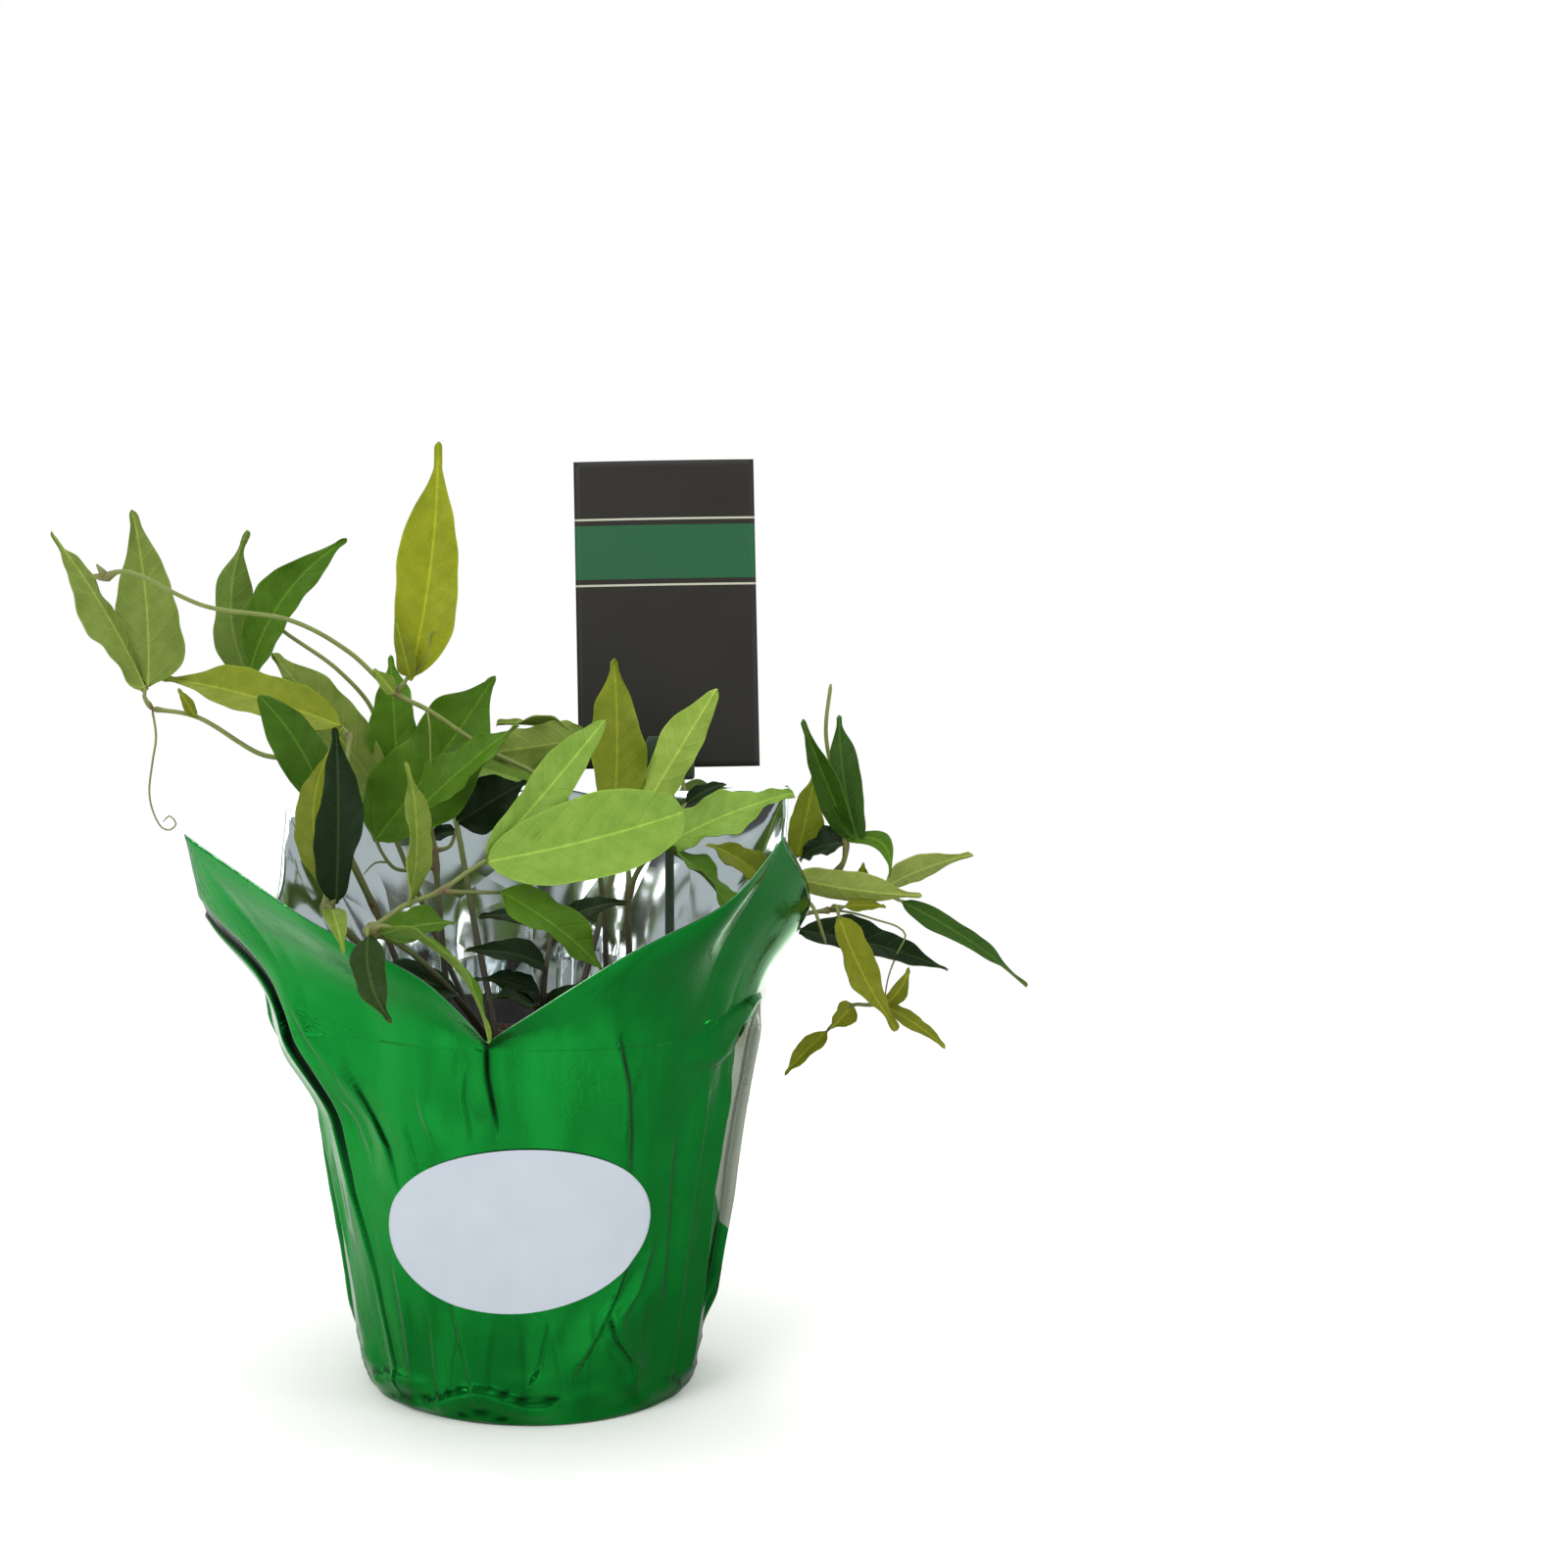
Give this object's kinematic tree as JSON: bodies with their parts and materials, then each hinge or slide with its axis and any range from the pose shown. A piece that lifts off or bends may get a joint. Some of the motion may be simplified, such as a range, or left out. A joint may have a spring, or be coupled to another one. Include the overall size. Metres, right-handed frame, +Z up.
{
  "type": "potted crossvine",
  "caption": "Young crossvine with paired narrow leaves and tendrils in a nursery pot, wrapped in one square sheet of two-sided floral foil with four standing corners, sticker and upright card.",
  "frame": {"origin": "middle of the flat base that the wrapped pot stands on", "axes": "+Z is up out of the pot, -Y is the front with the sticker and the low notch of the foil, +X is to the right seen from the front"},
  "size_m": [0.2481, 0.19, 0.2465],
  "materials": {
    "foil": "glossy two-sided film, green outside and mirror silver inside",
    "pot": "thin moulded plastic",
    "soil": "crumbly potting mix",
    "sticker": "smooth satin sticker",
    "pick": "moulded plastic",
    "card": "satin coated card",
    "light_leaf": "living leaf, satin",
    "yellow_leaf": "young living leaf, satin",
    "green_leaf": "living leaf, satin",
    "dark_leaf": "old living leaf, satin"
  },
  "bodies": {
    "root": {"foil_wrap": "foil", "nursery_pot": "pot", "potting_soil": "soil", "label_sticker": "sticker", "card_pick": "pick", "card": "card", "vine_left_tip": "light_leaf", "vine_left_mid": "green_leaf", "vine_front_left": "green_leaf", "vine_front": "light_leaf", "vine_runner": "yellow_leaf", "vine_dark_centre": "green_leaf", "vine_centre": "yellow_leaf", "vine_right_up": "green_leaf", "vine_right_low": "yellow_leaf", "vine_back_left": "green_leaf", "vine_back_right": "green_leaf", "shoots_low": "dark_leaf"}
  },
  "joints": []
}
